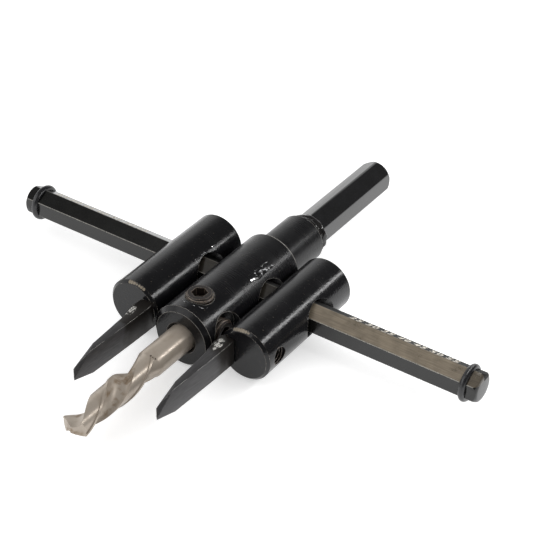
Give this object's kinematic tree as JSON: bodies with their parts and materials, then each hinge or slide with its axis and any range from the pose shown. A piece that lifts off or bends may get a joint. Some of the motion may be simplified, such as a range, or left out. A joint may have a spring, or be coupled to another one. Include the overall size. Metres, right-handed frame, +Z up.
{
  "type": "adjustable circle cutter",
  "caption": "Drill-driven circle cutter: a hexagon cross bar carries sliding round posts with ground cutters, set either side of a twist drill pilot, on a hexagon shank",
  "frame": {"origin": "on the surface that the tool lies on, under the middle of its bounding box", "axes": "X along the cross bar, Y along the tool axis from drill point to shank, Z up"},
  "size_m": [0.1534, 0.148, 0.0198],
  "materials": {
    "hub_black": "glossy black oxide and oil over turned steel, bright where it has rubbed",
    "shank_steel": "dark drawn hexagon steel",
    "braze": "glossy black lumpy braze bead",
    "bar_steel": "drawn hexagon steel with a dark brown-grey oxide",
    "ring_black": "black spring wire",
    "post_black": "glossy black oxide and oil over turned steel",
    "cutter_steel": "ground tool steel, dark grey",
    "screw_brown": "brown-black oxide, satin",
    "drill_steel": "bright ground high-speed steel with a warm tint"
  },
  "bodies": {
    "hub_body": {"hub": "hub_black", "shank": "shank_steel", "braze_bead": "braze", "arm_bar": "bar_steel", "ring_left": "ring_black", "ring_right": "ring_black"},
    "left_post": {"post_left": "post_black"},
    "right_post": {"post_right": "post_black"},
    "left_cutter": {"cutter_left": "cutter_steel"},
    "right_cutter": {"cutter_right": "cutter_steel"},
    "left_cutter_screw": {"cutter_screw_left": "screw_brown"},
    "right_cutter_screw": {"cutter_screw_right": "screw_brown"},
    "left_post_screw": {"post_screw_left": "screw_brown"},
    "right_post_screw": {"post_screw_right": "screw_brown"},
    "pilot": {"pilot_drill": "drill_steel"},
    "top_pilot_screw": {"pilot_screw_top": "screw_brown"},
    "side_pilot_screw": {"pilot_screw_side": "screw_brown"},
    "bar_lock_screw": {"bar_screw": "screw_brown"}
  },
  "joints": [
    {"name": "left_post_slide", "type": "slide", "parent": "hub_body", "child": "left_post", "axis": [-1, 0, 0], "range_m": [-0.0014, 0.0438]},
    {"name": "right_post_slide", "type": "slide", "parent": "hub_body", "child": "right_post", "axis": [1, 0, 0], "range_m": [-0.0002, 0.045]},
    {"name": "left_cutter_slide", "type": "slide", "parent": "left_post", "child": "left_cutter", "axis": [0, -1, 0], "range_m": [0, 0.008]},
    {"name": "right_cutter_slide", "type": "slide", "parent": "right_post", "child": "right_cutter", "axis": [0, -1, 0], "range_m": [0, 0.008]},
    {"name": "pilot_slide", "type": "slide", "parent": "hub_body", "child": "pilot", "axis": [0, -1, 0], "range_m": [0, 0.01]},
    {"name": "left_cutter_screw_turn", "type": "hinge", "parent": "left_post", "child": "left_cutter_screw", "pos_m": [-0.0252, -0.0184, 0.0095], "axis": [-1, 0, 0], "range_deg": [0, 360]},
    {"name": "right_cutter_screw_turn", "type": "hinge", "parent": "right_post", "child": "right_cutter_screw", "pos_m": [0.024, -0.0184, 0.0095], "axis": [1, 0, 0], "range_deg": [0, 360]},
    {"name": "left_post_screw_turn", "type": "hinge", "parent": "left_post", "child": "left_post_screw", "pos_m": [-0.0192, 0.0155, 0.0095], "axis": [0, 1, 0], "range_deg": [0, 360]},
    {"name": "right_post_screw_turn", "type": "hinge", "parent": "right_post", "child": "right_post_screw", "pos_m": [0.018, 0.0155, 0.0095], "axis": [0, 1, 0], "range_deg": [0, 360]},
    {"name": "top_pilot_screw_turn", "type": "hinge", "parent": "hub_body", "child": "top_pilot_screw", "pos_m": [0, -0.0191, 0.0195], "axis": [0, 0, 1], "range_deg": [0, 360]},
    {"name": "side_pilot_screw_turn", "type": "hinge", "parent": "hub_body", "child": "side_pilot_screw", "pos_m": [0.008, -0.0191, 0.0095], "axis": [1, 0, 0], "range_deg": [0, 360]},
    {"name": "bar_screw_turn", "type": "hinge", "parent": "hub_body", "child": "bar_lock_screw", "pos_m": [0, -0.0085, 0.0095], "axis": [0, -1, 0], "range_deg": [0, 360]}
  ]
}
